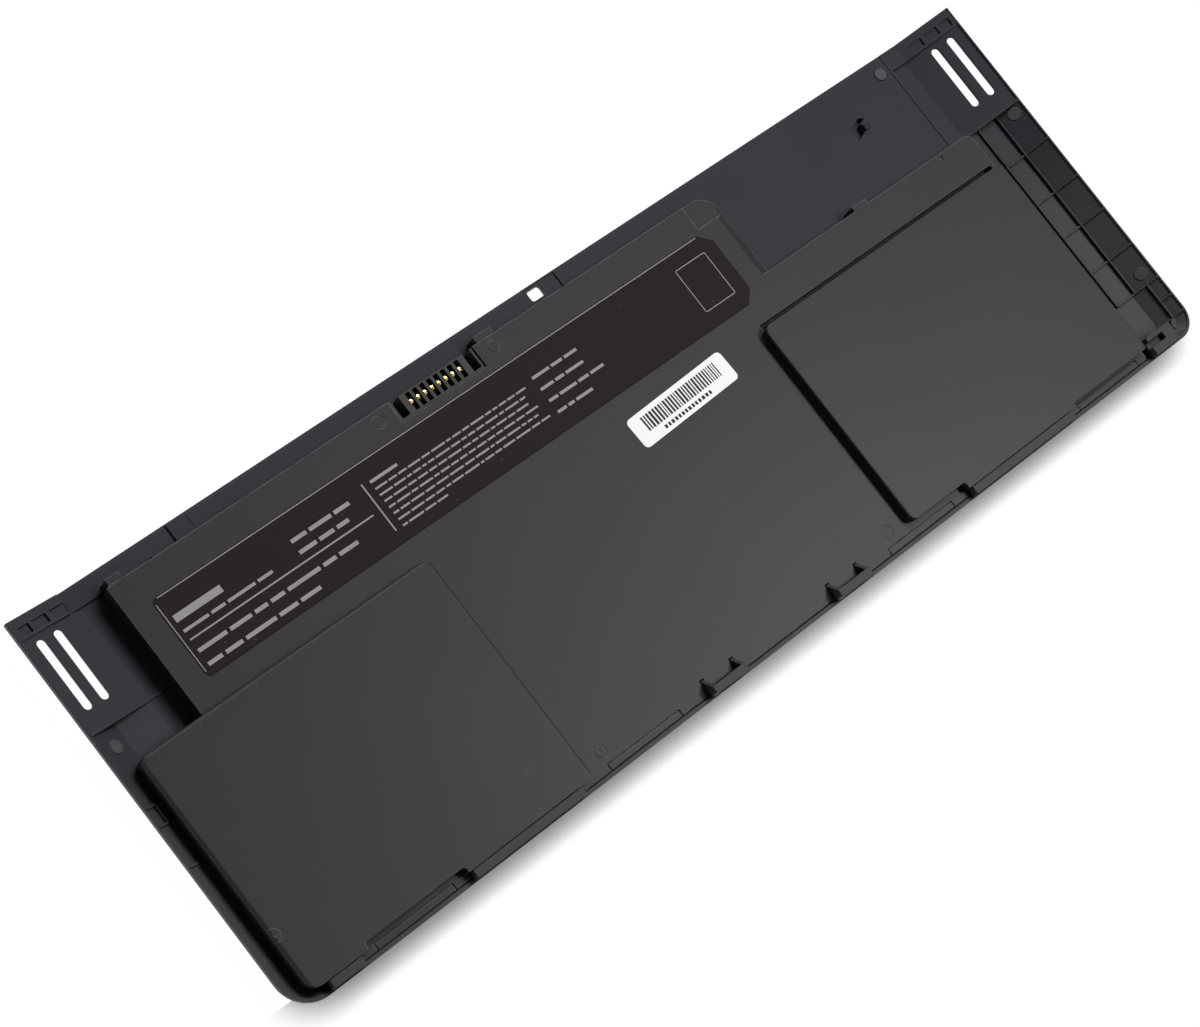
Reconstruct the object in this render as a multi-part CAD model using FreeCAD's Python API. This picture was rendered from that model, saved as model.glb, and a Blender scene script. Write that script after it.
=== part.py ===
"""Flat laptop battery pack: bottom tray, rear panel, cell cover, six pouch cells, board and connector.

Millimetres. X runs along the length, Y from the front edge to the rear edge, Z up.
The origin is the middle of the underside, and the pack lies on its smooth outer face.
"""
import FreeCAD
import Part

import math
import os

V = FreeCAD.Vector

# Overall
length = 281.0
depth = 98.0
rim_height = 6.8
block_rise = 2.6
left, right = -length / 2, length / 2
front, back = -depth / 2, depth / 2
block_top = rim_height + block_rise

# Tray
floor_wall = 1.3
lip_width = 0.9
end_lip = 0.5
lip_depth = 0.35
rim_band = 1.6
corner_radii = (8.0, 6.0)
floor_corner_radius = 3.0
end_run = 16.0
knee_run = 0.41
knee_rise = 0.26
front_run = 4.0
back_wall = 1.3

# Rear flange and panel
flange_depth = 4.9
panel_thickness = 0.8
panel_left_margin = 13.8
panel_right_margin = 21.8
panel_fit = 0.2
wall_line = back - flange_depth
panel_bottom = floor_wall
panel_top = panel_bottom + panel_thickness
panel_left = left + panel_left_margin
panel_right = right - panel_right_margin
panel_wall = 0.6
rear_step_width = 0.5
rear_step_drop = 0.15

# Latch hole and the sunken pad round it
latch_offset = 35.9
latch_width = 4.2
latch_depth = 2.8
latch_radius = 0.7
latch_setback = 2.3
latch_pad_side = 0.9
latch_pad_tail = 4.4
latch_pad_sink = 0.35

# Small pad and ragged hole in the rear panel
flange_pad_x = panel_left + 30.1
flange_pad_width = 4.9
flange_pad_rise = 0.5
flange_pad_groove = 0.3
nick_offset = 10.3
nick_width = 4.6
nick_depth = 0.6
nick_sink = 0.6
cable_hole_x = panel_right - 17.3
cable_hole_width = 6.2
cable_hole_depth = 4.8
cable_hole_setback = 12.2
cable_hole_corners = [(-0.50, -0.08), (-0.39, 0.21), (0.21, 0.50), (0.50, 0.34), (0.13, 0.19), (0.08, -0.27),
                      (-0.35, -0.50)]
cable_lug_width = 2.3
cable_lug_depth = 2.1
cable_lug_rise = 0.8
panel_dot_x = panel_right - 2.75
panel_dot_setback = 4.0
mark_rise = 0.25

# Speaker slots, two in each sloped end
slot_width = 2.1
slot_length = 17.4
slot_outer_margin = 4.1
slot_pitch = 4.6
slot_rear_margin = 1.3
bed_rib_width = 0.6
bed_rib_rise = 0.4
bed_wall = 0.6

# Rear corner pockets
corner_foot_rise = 0.8
corner_rim_drop = 0.1
left_pocket_depth = 0.6
right_pocket_depth = 0.4
pocket_front_margin = 0.7
pocket_length = 2.1
pocket_spans = [(1.5, 4.4), (5.2, 8.9), (9.9, 13.6)]

# Cover
cover_wall = 0.8
left_bay_width = 21.5
plateau_right_margin = 89.0
plateau_setback = 0.3
recess_depth = 28.3
rib_field_width = 18.2
left_block_margin = 4.3
left_block_width = 77.1
right_block_width = 81.0
left_strip_depth = 32.6
right_strip_depth = 33.5
block_front_margin = 2.5
front_gap = 0.35
left_notch_depth = 1.5
right_notch_depth = 1.8
outer_notch_depth = 0.9
notch_corner = 0.8
seam = 0.2
left_edge_round = 0.9
right_edge_round = 0.4
block_corner = 2.0
block_front_corner = 3.0
recess_slope = 2.2
recess_slope_drop = 0.75
rear_groove_width = 1.2
rear_groove_depth = 2.4
rear_groove_wall = 0.5

plateau_back = wall_line - plateau_setback
plateau_left = left + left_bay_width
plateau_right = right - plateau_right_margin
recess_front = back - recess_depth
cover_right = right - rib_field_width
cover_front = front + lip_width + front_gap
block_front = front + block_front_margin
left_notch_back = block_front + left_notch_depth
right_notch_back = block_front + right_notch_depth
outer_notch_back = block_front + outer_notch_depth
panel_lap = back_wall - plateau_setback
panel_step_x = plateau_left + cover_wall + seam
left_block_x0 = left + left_block_margin
left_block_x1 = left_block_x0 + left_block_width
left_block_back = plateau_back - left_strip_depth
right_block_x0 = cover_right - right_block_width
right_block_back = plateau_back - right_strip_depth

# Front clip tongues, two for each half
clip_length = 21.4
clip_depth = 1.6
clip_line = 0.3
clip_line_depth = 0.35
clip_inner_x = right_block_x0 + 2.2
clip_outer_x = cover_right - 13.8
left_notch_x0 = -clip_outer_x - 13.0
left_notch_x1 = -clip_outer_x + 14.0
right_notch_x1 = clip_inner_x + 15.1
right_notch_x0 = clip_outer_x - 12.9

# Front tongues of the tray that stand level with the blocks
tongue_setback = 0.3
corner_tongue_margin = 8.6
corner_tongue_width = 8.3
left_tongue_margin = 3.9
tongue_spans = [
    (left + corner_tongue_margin, left + corner_tongue_margin + corner_tongue_width),
    (left_notch_x1 + 0.9, left_block_x1 - left_tongue_margin),
    (right_notch_x1 + 0.8, right_notch_x0 - 1.6),
    (right - corner_tongue_margin - corner_tongue_width, right - corner_tongue_margin),
]
tongue_back = block_front - seam
catch_depth = 5.0
catch_slot_end = 3.3
catch_slot_width = 1.7
catch_slot_setback = 2.2
catch_slot_sink = 1.6

# Front hooks with two gussets each
hook_places = [-19.9, 19.3]
hook_width = 9.8
hook_rise = 3.4
hook_gusset = 0.9
hook_gusset_reach = 2.4
hook_gap = 0.3
hook_round = 0.7
hook_top = rim_height + hook_rise
hook_back = block_front - seam
hook_notch_back = hook_back + hook_gusset_reach + hook_gap

# Ribs of the right-hand slope and of the left-hand trench
rib_width = 0.45
rib_height = 0.6
rib_long_margins = [12.2, 6.4]
rib_field_back = recess_front
rib_field_front = front + 15.4
rib_shares = [0.215, 0.427, 0.615, 0.814, 1.0]
rib_cross_y = [rib_field_back + (rib_field_front - rib_field_back) * share for share in rib_shares]
corner_box_y = [front + 10.1, front + 5.3]
corner_box_margin = 3.4
corner_box_step = 2.2
trench_rib_y = [left_block_back - 8.9, left_block_back - 13.4, left_block_back - 23.4]
trench_rib_reach = 1.9
trench_rib_width = 0.4
mark_radius = 1.6
slope_mark_rise = 0.15
boss_radius = 1.4
boss_margin = 3.7
boss_height = 1.6

# Clip tabs on the rear edge of the cover
rear_tab_reach = 1.7
rear_tab_drop = 0.6
recess_tab_x = panel_right - 34.1
recess_tab_width = 4.4
recess_tab_reach = 1.2
corner_step_width = 6.0
corner_step_depth = 6.2
corner_step_drop = 0.4
plateau_corner = 5.5

# Ring marks moulded in the cover
ring_radius = 1.6
ring_line = 0.18
ring_depth = 0.12
ring_margin = 4.6
ring_dot = 0.25
edge_nick_offset = 7.3
edge_nick_setback = 1.4
edge_nick_size = 1.6
edge_nick_sink = 0.3
tab_hole_radius = 0.5

# Connector
contact_count = 8
contact_pitch = 2.0
contact_thickness = 0.6
contact_slot = 1.2
connector_offset = 2.6
connector_x = (plateau_left + plateau_right) / 2 + connector_offset
latch_x = connector_x + latch_offset
connector_end = 4.4
connector_depth = 5.1
connector_sink = 0.5
connector_fit = 0.2
connector_rim = 0.4
guide_width = 2.2
guide_rim = 0.6
slot_end_wall = 0.35
connector_width = contact_pitch * (contact_count - 1) + contact_slot + 2 * connector_end
connector_back = plateau_back - 0.1
connector_front = connector_back - connector_depth
rear_tabs = [(plateau_left + 2.7, 3.4), (connector_x + connector_width / 2 + 4.4, 4.8)]

# Board
board_thickness = 0.8
board_gap = 0.6
board_tongue_left = 30.6
board_tongue_right = 53.4
board_margin = 4.0
board_clear = 0.3
board_setback = 1.2
board_z0 = floor_wall + board_gap
board_top = board_z0 + board_thickness
board_back = wall_line - back_wall - board_clear

# Cells
tape_thickness = 0.2
middle_tape = 0.15
cell_head_room = 0.15
cell_clear = 0.3
terrace_depth = 3.2
terrace_thickness = 0.7
cell_corner = 2.5
cell_edge = 0.7
tab_width = 6.0
tab_thickness = 0.15
tab_inset = 10.0
tab_end_margin = 2.3
board_reach = tab_width / 2 + board_margin
bay_rib = 0.8
bay_rib_rise = 3.0
outer_cell_width = 64.5

# Label and sticker
film_thickness = 0.12
label_left_margin = 5.9
label_right_margin = 4.8
label_rear_margin = 7.2
label_depth = 19.8
label_corner = 1.3
label_chamfer = 3.0
sticker_length = 30.1
sticker_width = 7.7
sticker_corner = 1.2
sticker_turn = 2.5
sticker_offset = 26.5
sticker_setback = 9.0


def box(x0, x1, y0, y1, z0, z1):
    """A block between two corners."""
    return Part.makeBox(x1 - x0, y1 - y0, z1 - z0, V(x0, y0, z0))


def cylinder(x, y, radius, z0, z1):
    """An upright round post."""
    return Part.makeCylinder(radius, z1 - z0, V(x, y, z0))


def outline(corners, z=0.0):
    """A closed wire through (x, y, radius) corners, each rounded by a tangent arc of its radius."""
    points = [V(x, y, z) for x, y, _ in corners]
    ends = []
    for i, (_, _, radius) in enumerate(corners):
        here = points[i]
        to_last = (points[i - 1] - here).normalize()
        to_next = (points[(i + 1) % len(points)] - here).normalize()
        half = to_last.getAngle(to_next) / 2
        reach = radius / math.tan(half)
        middle = (to_last + to_next).normalize() * (radius / math.sin(half) - radius)
        ends.append((here + to_last * reach, here + middle, here + to_next * reach))
    edges = []
    for i, (start, middle, stop) in enumerate(ends):
        if corners[i][2] > 0:
            edges.append(Part.Arc(start, middle, stop).toShape())
        following = ends[(i + 1) % len(ends)][0]
        if (following - stop).Length > 1e-6:
            edges.append(Part.LineSegment(stop, following).toShape())
    return Part.Wire(edges)


def inset(corners, amount):
    """The corners of a clockwise outline, moved inwards by a wall's thickness."""
    moved = []
    for i, (x, y, radius) in enumerate(corners):
        last, following = corners[i - 1], corners[(i + 1) % len(corners)]
        arrive = V(x - last[0], y - last[1], 0).normalize()
        leave = V(following[0] - x, following[1] - y, 0).normalize()
        inward_a = V(arrive.y, -arrive.x, 0)
        inward_b = V(leave.y, -leave.x, 0)
        shift = (inward_a + inward_b) * (amount / (1 + inward_a.dot(inward_b)))
        convex = arrive.cross(leave).z < 0
        kept = max(radius - amount, 0) if convex else radius + amount
        moved.append((x + shift.x, y + shift.y, kept if radius > 0 else 0))
    return moved


def prism(corners, z0, z1):
    """An upright prism on a rounded outline."""
    return Part.Face(outline(corners, z0)).extrude(V(0, 0, z1 - z0))


def fused(shapes):
    """All shapes as one solid with clean faces."""
    return shapes[0].multiFuse(shapes[1:]).removeSplitter() if len(shapes) > 1 else shapes[0]


def side_profile(points, y0, y1):
    """A plate with an outline in XZ, between two Y planes."""
    face = Part.Face(Part.makePolygon([V(x, y0, z) for x, z in points + points[:1]]))
    return face.extrude(V(0, y1 - y0, 0))


def end_profile(points, x0, x1):
    """A plate with an outline in YZ, between two X planes."""
    face = Part.Face(Part.makePolygon([V(x0, y, z) for y, z in points + points[:1]]))
    return face.extrude(V(x1 - x0, 0, 0))


def inner_run(run):
    """How far the inner slope runs inwards, parallel to an outer slope of the given run."""
    return run * (rim_height - lip_depth - floor_wall) / (rim_height - rim_band)


def slope_stations():
    """Distances from the middle where the inner end slope starts, bends and ends, with their heights."""
    mouth = right - end_lip
    run = inner_run(end_run)
    rise = rim_height - lip_depth - floor_wall
    return [(mouth - run, floor_wall), (mouth - run * knee_run, floor_wall + rise * knee_rise),
            (mouth, floor_wall + rise)]


def slope_z(x):
    """Height of the tray's inner surface at a distance along its length."""
    foot, knee, mouth = slope_stations()
    low, high = (foot, knee) if abs(x) < knee[0] else (knee, mouth)
    return max(low[1] + (abs(x) - low[0]) * (high[1] - low[1]) / (high[0] - low[0]), floor_wall)


def tray_outline(side, ahead, behind, radii):
    """The tray's outline at one level: square rear corners and round front corners, left and right."""
    return [(left + side, behind, 0), (right - side, behind, 0),
            (right - side, front + ahead, radii[1]), (left + side, front + ahead, radii[0])]


def tub(rim_x, rim_y, run_x, run_y, behind, z0, z1, top):
    """A body that flares from its foot over a knee in both ends to its mouth, and then goes straight up."""
    mouth_radii = [radius - rim_y for radius in corner_radii]
    knee_radii = [floor_corner_radius + (radius - floor_corner_radius) * knee_rise for radius in mouth_radii]
    foot_radii = [floor_corner_radius for _ in corner_radii]
    foot = tray_outline(rim_x + run_x, rim_y + run_y, behind, foot_radii)
    knee = tray_outline(rim_x + run_x * knee_run, rim_y + run_y * (1 - knee_rise), behind, knee_radii)
    mouth = tray_outline(rim_x, rim_y, behind, mouth_radii)
    levels = [z0, z0 + (z1 - z0) * knee_rise, z1]
    flare = Part.makeLoft([outline(o, z) for o, z in zip((foot, knee, mouth), levels)], True, True)
    return flare.fuse(prism(mouth, z1, top)).removeSplitter()


def tray_envelope(top):
    """The outer form of the tray, carried straight up to a level."""
    return tub(0, 0, end_run, front_run, back, 0, rim_height - rim_band, top)


def tray_cavity(top):
    """The open inside of the tray, carried straight up to a level."""
    return tub(end_lip, lip_width, inner_run(end_run), inner_run(front_run), wall_line, floor_wall,
               rim_height - lip_depth, top)


def slope_rib(x0, x1, y, width, height):
    """A thin rib across the length that follows the sloped floor."""
    bends = [math.copysign(x, x0 + x1) for x, _ in slope_stations()[:2]]
    stations = sorted([x0, x1] + [x for x in bends if x0 < x < x1])
    lower = [(x, slope_z(x) - floor_wall / 3) for x in stations]
    upper = [(x, slope_z(x) + height) for x in reversed(stations)]
    return side_profile(lower + upper, y - width / 2, y + width / 2)


def long_rib(x, y0, y1, width, height):
    """A thin rib along the depth, standing on the floor."""
    return box(x - width / 2, x + width / 2, y0, y1, slope_z(x) - floor_wall / 3, slope_z(x) + height)


def slope_disc(x, y, radius, rise):
    """A flat round mark that lies on the sloped floor."""
    lean = (slope_z(x + 0.1) - slope_z(x - 0.1)) / 0.2
    normal = V(-lean, 0, 1).normalize()
    root = V(x, y, slope_z(x)) - normal * (floor_wall / 2)
    return Part.makeCylinder(radius, floor_wall / 2 + rise, root, normal)


def slot_beds():
    """Straight beds for the speaker slots at both ends, each with a low rib along its front edge."""
    (foot, foot_z), _, (mouth, mouth_z) = slope_stations()
    solids = []
    for side, inner in ((-1, seam - plateau_left), (1, foot - bed_rib_width)):
        bed = [(side * foot, 0), (side * foot, foot_z), (side * mouth, mouth_z), (side * mouth, 0)]
        solids.append(side_profile(bed, recess_front, wall_line))
        rib = [(side * inner, 0), (side * inner, foot_z + bed_rib_rise), (side * foot, foot_z + bed_rib_rise),
               (side * mouth, mouth_z + bed_rib_rise), (side * mouth, 0)]
        solids.append(side_profile(rib, recess_front - bed_rib_width / 2, recess_front + bed_rib_width / 2))
    return solids


def speaker_slots():
    """Cutters of the two round-ended slots in each end and of the pocket that thins the wall there."""
    cutters = []
    y1 = wall_line - slot_rear_margin
    y0 = y1 - slot_length
    (foot, foot_z), _, (mouth, mouth_z) = slope_stations()
    pitch = (mouth_z - foot_z) / (mouth - foot)
    pocket_x = (right - slot_outer_margin - slot_pitch - slot_width, right - slot_outer_margin + slot_width)
    for side in (-1, 1):
        pocket = [(side * x, foot_z + (x - foot) * pitch - bed_wall) for x in pocket_x]
        pocket += [(side * pocket_x[1], -1), (side * pocket_x[0], -1)]
        cutters.append(side_profile(pocket, y0 - slot_width / 2, y1 + slot_width / 2))
        for k in range(2):
            x = side * (right - slot_outer_margin - k * slot_pitch)
            half = slot_width / 2
            corners = [(x - half, y1, half * 0.98), (x + half, y1, half * 0.98),
                       (x + half, y0, half * 0.98), (x - half, y0, half * 0.98)]
            cutters.append(prism(corners, -1, rim_height))
    return cutters


def corner_z(x):
    """Height of the raised rear corners, which climb from the floor to the rim."""
    (foot, foot_z), _, (mouth, _) = slope_stations()
    low = foot_z + corner_foot_rise
    return low + (rim_height - corner_rim_drop - low) * max(abs(x) - foot, 0) / (mouth - foot)


def corner_cuts():
    """The cutters above the raised rear corners beside the panel."""
    (foot, _), _, (mouth, _) = slope_stations()
    cutters = []
    for x0, x1 in ((-mouth, panel_left - panel_fit), (panel_right + panel_fit, mouth)):
        stations = sorted([x0, x1] + [x for x in (-foot, foot) if x0 < x < x1])
        low = [(x, corner_z(x)) for x in stations]
        above = [(x1, rim_height + 1), (x0, rim_height + 1)]
        cutters.append(side_profile(low + above, wall_line - 0.1, back + 1))
    return cutters


def corner_pockets():
    """The cutters of the open pockets in the two rear corners."""
    cutters = []
    y0 = wall_line + pocket_front_margin
    for near, far in pocket_spans:
        for x0, x1, sink in ((left + near, left + far, left_pocket_depth),
                             (right - far, right - near, right_pocket_depth)):
            pocket = [(x0, corner_z(x0) - sink), (x1, corner_z(x1) - sink), (x1, rim_height + 1),
                      (x0, rim_height + 1)]
            cutters.append(side_profile(pocket, y0, y0 + pocket_length))
    return cutters


def front_hooks():
    """Two upright tongues at the front edge, each braced by a gusset at both ends."""
    solids = []
    for x in hook_places:
        x0, x1 = x - hook_width / 2, x + hook_width / 2
        plate = [(x0, hook_back, 0), (x1, hook_back, 0), (x1, front + tongue_setback, hook_round),
                 (x0, front + tongue_setback, hook_round)]
        solids.append(prism(plate, floor_wall, hook_top))
        toe = hook_back + hook_gusset_reach
        brace = [(hook_back, floor_wall), (hook_back, hook_top - 0.3), (toe, rim_height), (toe, floor_wall)]
        solids.append(end_profile(brace, x0, x0 + hook_gusset))
        solids.append(end_profile(brace, x1 - hook_gusset, x1))
    return solids


def tray_ribs():
    """Ribs, marks and bosses on the tray's inner faces."""
    ribs = []
    longs = [right - margin for margin in rib_long_margins]
    rim_inner = right - end_lip
    for x in longs:
        ribs.append(long_rib(x, rib_cross_y[-1], rib_field_back, rib_width, rib_height))
    for y in rib_cross_y:
        ribs.append(slope_rib(longs[0], rim_inner, y, rib_width, rib_height))
    box_x = right - corner_box_margin
    ribs.append(long_rib(box_x, corner_box_y[-1], rib_cross_y[-1], rib_width, rib_height))
    corner_x = box_x - corner_box_step
    for x, y in zip((box_x, corner_x), corner_box_y):
        ribs.append(slope_rib(x, rim_inner, y, rib_width, rib_height))
    ribs.append(long_rib(corner_x, front + lip_width, corner_box_y[-1], rib_width, rib_height + 0.6))
    ribs.append(cylinder(right - boss_margin, front + boss_margin, boss_radius, floor_wall,
                         rim_height - boss_height))
    for y in trench_rib_y:
        ribs.append(slope_rib(left + end_lip, left + lip_width + trench_rib_reach, y, trench_rib_width,
                              rib_height))
    x = left + lip_width + trench_rib_reach
    ribs.append(long_rib(x, trench_rib_y[1], trench_rib_y[0], trench_rib_width, rib_height))
    marks = [(right - 2.8, rib_field_back - 2.1), (right - 2.8, rib_field_front + 3.0),
             (left + 4.0, rib_field_back - 4.4)]
    for x, y in marks:
        ribs.append(slope_disc(x, y, mark_radius, slope_mark_rise))
    return ribs


def inner_supports():
    """Ridges and rests inside the tray that hold the panel, the board and the cells."""
    solids = [box(panel_right + panel_fit, panel_right + panel_fit + panel_wall, recess_front + seam,
                  wall_line, 0, panel_top)]
    for x in (left_block_x1, right_block_x0):
        solids.append(box(x - bay_rib / 2, x + bay_rib / 2, cell_front, cell_back, 0,
                          floor_wall + bay_rib_rise))
    for x, y in board_rests():
        solids.append(box(x - 2, x + 2, y - 1, y + 1, 0, board_z0))
    return solids


def corner_catch():
    """The deep tongue at the right front corner, with a slot in its top."""
    x0, x1 = tongue_spans[-1]
    y0 = front + tongue_setback
    slot_y = y0 + catch_slot_setback
    block = box(x0, x1, y0, y0 + catch_depth, floor_wall, block_top)
    return block.cut(box(x0 - 1, x1 - catch_slot_end, slot_y, slot_y + catch_slot_width,
                         block_top - catch_slot_sink, block_top + 1))


def bottom_tray():
    """The outer shell: flat floor, sloped ends, rim, slots, ribs, tongues and hooks."""
    shell = tray_envelope(rim_height).cut(tray_cavity(rim_height + 1))
    shell = shell.cut(box(panel_left - panel_fit, panel_right + panel_fit, wall_line - 0.1, back + 1,
                          panel_bottom, rim_height + 1))
    for cutter in corner_cuts():
        shell = shell.cut(cutter)
    added = tray_ribs() + slot_beds() + front_hooks() + inner_supports()
    added.append(corner_catch())
    for x0, x1 in tongue_spans[:-1]:
        added.append(box(x0, x1, front + tongue_setback, tongue_back, floor_wall, block_top))
    envelope = tray_envelope(hook_top + 1)
    body = fused([shell] + [piece.common(envelope) for piece in added])
    latch = prism(latch_hole(), -1, panel_top)
    cable = prism(cable_hole(), floor_wall / 2, panel_top)
    for cutter in speaker_slots() + corner_pockets() + [latch, cable]:
        body = body.cut(cutter)
    return body.removeSplitter()


def latch_hole():
    """The outline of the latch hole through the panel and the floor."""
    y = back - latch_setback
    half_x, half_y = latch_width / 2, latch_depth / 2
    return [(latch_x - half_x, y + half_y, latch_radius), (latch_x + half_x, y + half_y, latch_radius),
            (latch_x + half_x, y - half_y, latch_radius), (latch_x - half_x, y - half_y, latch_radius)]


def cable_hole():
    """The ragged outline of the hole in the panel's wide part."""
    y = back - cable_hole_setback
    return [(cable_hole_x + a * cable_hole_width, y + b * cable_hole_depth, 0.25)
            for a, b in cable_hole_corners]


def panel_outline():
    """The rear panel's outline: a strip along the rear edge that widens over the right-hand recess."""
    strip_front = plateau_back - panel_lap
    return [(panel_left, back, 0.3), (panel_right, back, 0.3), (panel_right, recess_front - panel_lap, 0),
            (plateau_right - panel_lap, recess_front - panel_lap, 0),
            (plateau_right - panel_lap, strip_front, 0), (panel_step_x, strip_front, 0),
            (panel_step_x, wall_line, 0), (panel_left, wall_line, 0)]


def rear_panel():
    """The thin panel on the floor along the rear edge, with the latch hole."""
    panel = prism(panel_outline(), panel_bottom, panel_top)
    pad = box(latch_x - latch_width / 2 - latch_pad_side, latch_x + latch_width / 2 + latch_pad_tail,
              wall_line + 0.2, back - 0.3, panel_top - latch_pad_sink, panel_top + 1)
    panel = panel.cut(pad).cut(prism(latch_hole(), panel_bottom - 1, panel_top + 1))
    panel = panel.cut(prism(cable_hole(), panel_bottom - 1, panel_top + 1))
    hole_y = back - cable_hole_setback
    lug_x = cable_hole_x + cable_hole_width * 0.14
    lug = side_profile([(lug_x, panel_bottom), (lug_x, panel_top + cable_lug_rise),
                        (lug_x + cable_lug_width, panel_top), (lug_x + cable_lug_width, panel_bottom)],
                       hole_y - cable_lug_depth / 2, hole_y + cable_lug_depth / 2 - 0.4)
    raised = box(flange_pad_x - flange_pad_width / 2, flange_pad_x + flange_pad_width / 2, wall_line + 0.3,
                 back - 0.3, panel_bottom, panel_top + flange_pad_rise)
    dot = cylinder(panel_dot_x, back - panel_dot_setback, mark_radius, panel_bottom, panel_top + mark_rise)
    edge = box(panel_left - 1, panel_right + 1, back - rear_step_width, back + 1, panel_top - rear_step_drop,
               panel_top + 1)
    nick_x, nick_y = flange_pad_x - nick_offset, wall_line + 0.1
    nick = prism([(nick_x - nick_width / 2, nick_y, 0), (nick_x + nick_width / 4, nick_y + nick_depth, 0),
                  (nick_x + nick_width / 2, nick_y, 0)], panel_top - nick_sink, panel_top + 1)
    pad_end = flange_pad_x + flange_pad_width / 2
    groove = box(pad_end, pad_end + flange_pad_groove, wall_line + 0.1, back - 0.6, panel_top - nick_sink,
                 panel_top + 1)
    tab_x, tab_width_x = rear_tabs[1]
    tab_hole = cylinder(tab_x - tab_width_x / 2, plateau_back + rear_tab_reach - tab_hole_radius,
                        tab_hole_radius, panel_top - nick_sink, panel_top + 1)
    for cutter in (edge, nick, groove, tab_hole):
        panel = panel.cut(cutter)
    return fused([panel, raised, dot, lug])


def cover_outline():
    """The cover's outline at the floor, clockwise from the rear left corner."""
    slope_end = plateau_right + recess_slope
    corners = [(plateau_left, plateau_back, 0.6), (slope_end, plateau_back, plateau_corner),
               (slope_end, recess_front, 0.8), (cover_right, recess_front, 2.0),
               (cover_right, cover_front, 0.6)]
    corner_tongue, left_tongue, right_tongue, _ = tongue_spans
    hooks = [(x - hook_width / 2, x + hook_width / 2) for x in reversed(hook_places)]
    for x0, x1 in [right_tongue] + hooks + [left_tongue]:
        corners += [(x1 + seam, cover_front, 0), (x1 + seam, block_front, 0), (x0 - seam, block_front, 0),
                    (x0 - seam, cover_front, 0)]
    corners += [(corner_tongue[1] + seam, cover_front, 0), (corner_tongue[1] + seam, block_front, 0),
                (left_block_x0, block_front, block_front_corner),
                (left_block_x0, left_block_back, block_corner),
                (plateau_left, left_block_back, 0)]
    return corners


def left_block_outline():
    """The left raised block, with the clip notch in its front edge."""
    return [(left_block_x0, left_block_back, block_corner), (left_block_x1, left_block_back, block_corner),
            (left_block_x1, block_front, block_corner), (left_notch_x1, block_front, 0),
            (left_notch_x1, left_notch_back, notch_corner), (left_notch_x0, left_notch_back, notch_corner),
            (left_notch_x0, block_front, 0), (left_block_x0, block_front, block_front_corner)]


def right_block_outline():
    """The right raised block, notched at both ends of its front edge."""
    small = block_corner / 2
    return [(right_block_x0, right_block_back, block_corner), (cover_right, right_block_back, small),
            (cover_right, outer_notch_back, small), (right_notch_x0, outer_notch_back, small / 2),
            (right_notch_x0, block_front, 0), (right_notch_x1, block_front, 0),
            (right_notch_x1, right_notch_back, notch_corner),
            (right_block_x0, right_notch_back, block_corner)]


def rounded_block(corners, radius):
    """A raised block with its upper edges rounded at the sides and the rear, and square along the front."""
    (x0, y1, r0), (x1, _, r1) = corners[:2]
    ahead = [(x0, y1, r0), (x1, y1, r1), (x1, front - 2, 0), (x0, front - 2, 0)]
    base = rim_height - cover_wall
    form = prism(ahead, base, block_top)
    edges = [e for e in form.Edges if min(v.Z for v in e.Vertexes) > block_top - 1e-6
             and max(v.Y for v in e.Vertexes) > front]
    return form.makeFillet(radius, edges).common(prism(corners, base, block_top))


def clip_lines():
    """Thin grooves that outline the four clip tongues at the front edge."""
    cutters = []
    y1 = cover_front + clip_depth
    for x in (-clip_outer_x, -clip_inner_x, clip_inner_x, clip_outer_x):
        x0, x1 = x - clip_length / 2, x + clip_length / 2
        z0 = rim_height - clip_line_depth
        cutters.append(box(x0, x1, y1 - clip_line, y1, z0, rim_height))
        cutters.append(box(x0, x0 + clip_line, cover_front - 1, y1, z0, rim_height))
        cutters.append(box(x1 - clip_line, x1, cover_front - 1, y1, z0, rim_height))
    return cutters


def ring_marks():
    """Thin round grooves on the upper faces."""
    reach = connector_width / 2 + ring_margin
    ring_front = block_front + 3.4
    dotted = [(left_block_x1 + ring_margin + 1.0, ring_front, rim_height),
              (left_block_x0 + 0.9, block_front + 13.5, block_top)]
    plain = [(right_block_x0 - ring_margin - 1.0, ring_front, rim_height),
             (connector_x - reach, plateau_back - 2.5, rim_height),
             (connector_x + reach, plateau_back - 2.5, rim_height)]
    cutters = []
    for x, y, z in dotted + plain:
        ring = cylinder(x, y, ring_radius, z - ring_depth, z + 1)
        cutters.append(ring.cut(cylinder(x, y, ring_radius - ring_line, z - 1, z + 1)))
    for x, y, z in dotted:
        cutters.append(box(x - ring_dot, x + ring_dot, y - ring_dot, y + ring_dot, z - ring_depth, z + 1))
    return cutters


def gusset_slots():
    """Cutters for the narrow slots in which the hooks' gussets stand."""
    reach = hook_gusset / 2 + seam
    cutters = []
    for x in hook_places:
        for side in (-1, 1):
            middle = x + side * (hook_width - hook_gusset) / 2
            cutters.append(box(middle - reach, middle + reach, block_front - 1, hook_notch_back, 0,
                               rim_height + 1))
    return cutters


def recess_cutters():
    """Cutters of the sloped edge and the small nick where the cover meets the right-hand recess."""
    x = plateau_right
    low = rim_height - recess_slope_drop
    slope = side_profile([(x, rim_height), (x + recess_slope, low), (x + recess_slope + 1, low),
                          (x + recess_slope + 1, rim_height + 1), (x, rim_height + 1)],
                         recess_front, plateau_back + 1)
    nick_x, nick_y = panel_right - edge_nick_offset, recess_front - edge_nick_setback
    half = edge_nick_size / 2
    nick = prism([(nick_x - half, nick_y + half, 0), (nick_x + half, nick_y + half, 0),
                  (nick_x, nick_y - half, 0)], rim_height - edge_nick_sink, rim_height + 1)
    return [slope, nick]


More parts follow.
